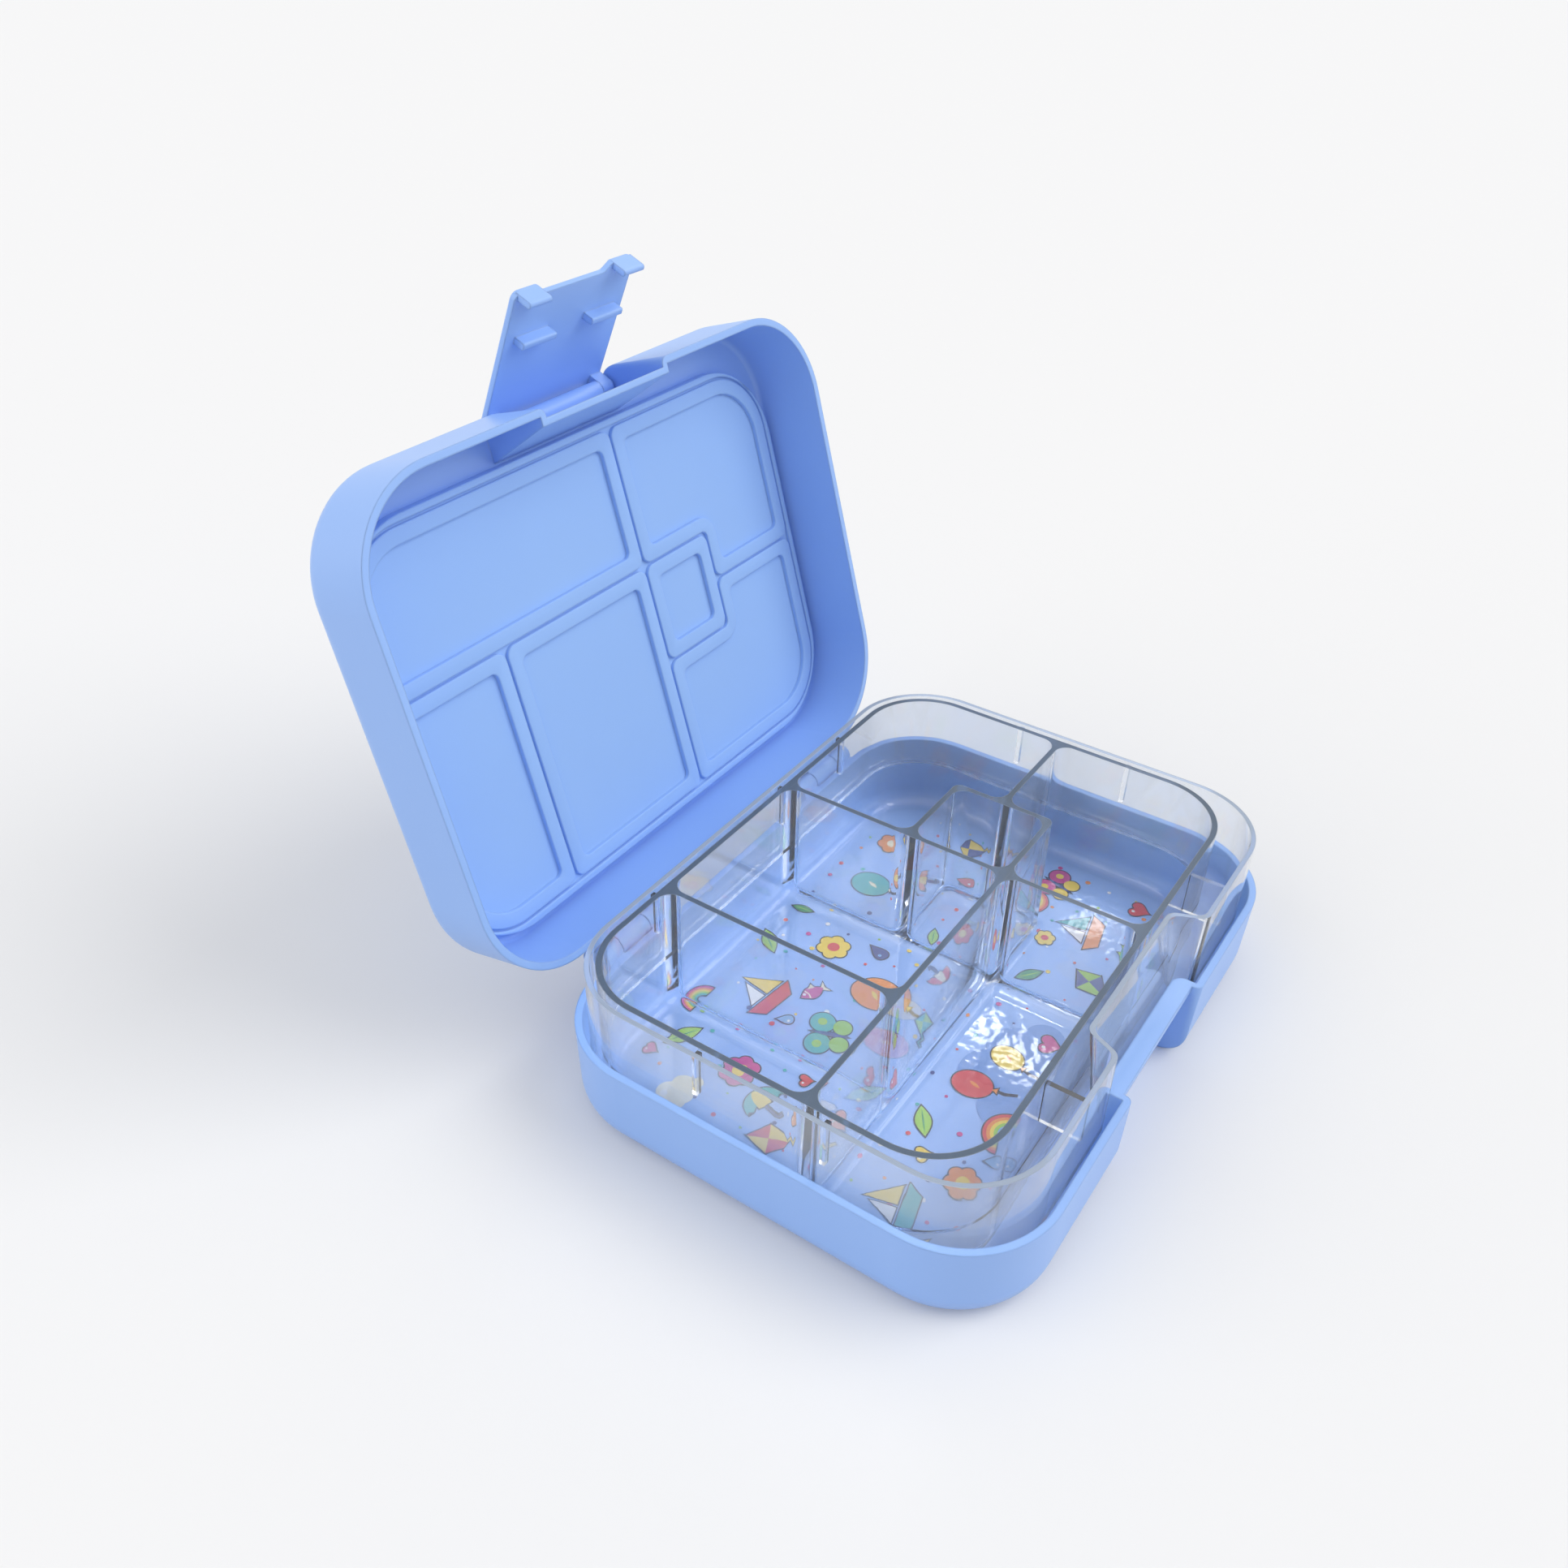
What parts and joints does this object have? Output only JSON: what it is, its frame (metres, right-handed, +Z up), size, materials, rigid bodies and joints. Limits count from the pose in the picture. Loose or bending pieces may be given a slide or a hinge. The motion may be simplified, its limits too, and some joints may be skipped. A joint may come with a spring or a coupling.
{
  "type": "bento lunch box",
  "caption": "Hinged lunch box with a clear compartment tray, a silicone lid seal and a front flip latch, standing open.",
  "frame": {"origin": "centre of the base's flat underside", "axes": "+X along the hinge, +Y from the latch to the hinge, +Z up"},
  "size_m": [0.212, 0.2355, 0.2165],
  "materials": {
    "shell": "satin",
    "tray": "clear gloss",
    "seal": "matte silicone",
    "steel": "plain"
  },
  "bodies": {
    "base": {"base_shell": "shell", "tray": "tray", "hinge_pin_left": "steel", "hinge_pin_right": "steel"},
    "lid": {"lid_shell": "shell", "lid_seal": "seal", "latch_pin": "steel"},
    "latch": {"latch": "shell"}
  },
  "joints": [
    {"name": "lid_hinge", "type": "hinge", "parent": "base", "child": "lid", "pos_m": [0, 0.0834, 0.03015], "axis": [1, 0, 0], "range_deg": [0, 106]},
    {"name": "latch_hinge", "type": "hinge", "parent": "lid", "child": "latch", "pos_m": [0, 0.14983, 0.17276], "axis": [1, 0, 0], "range_deg": [-44, 51]}
  ]
}
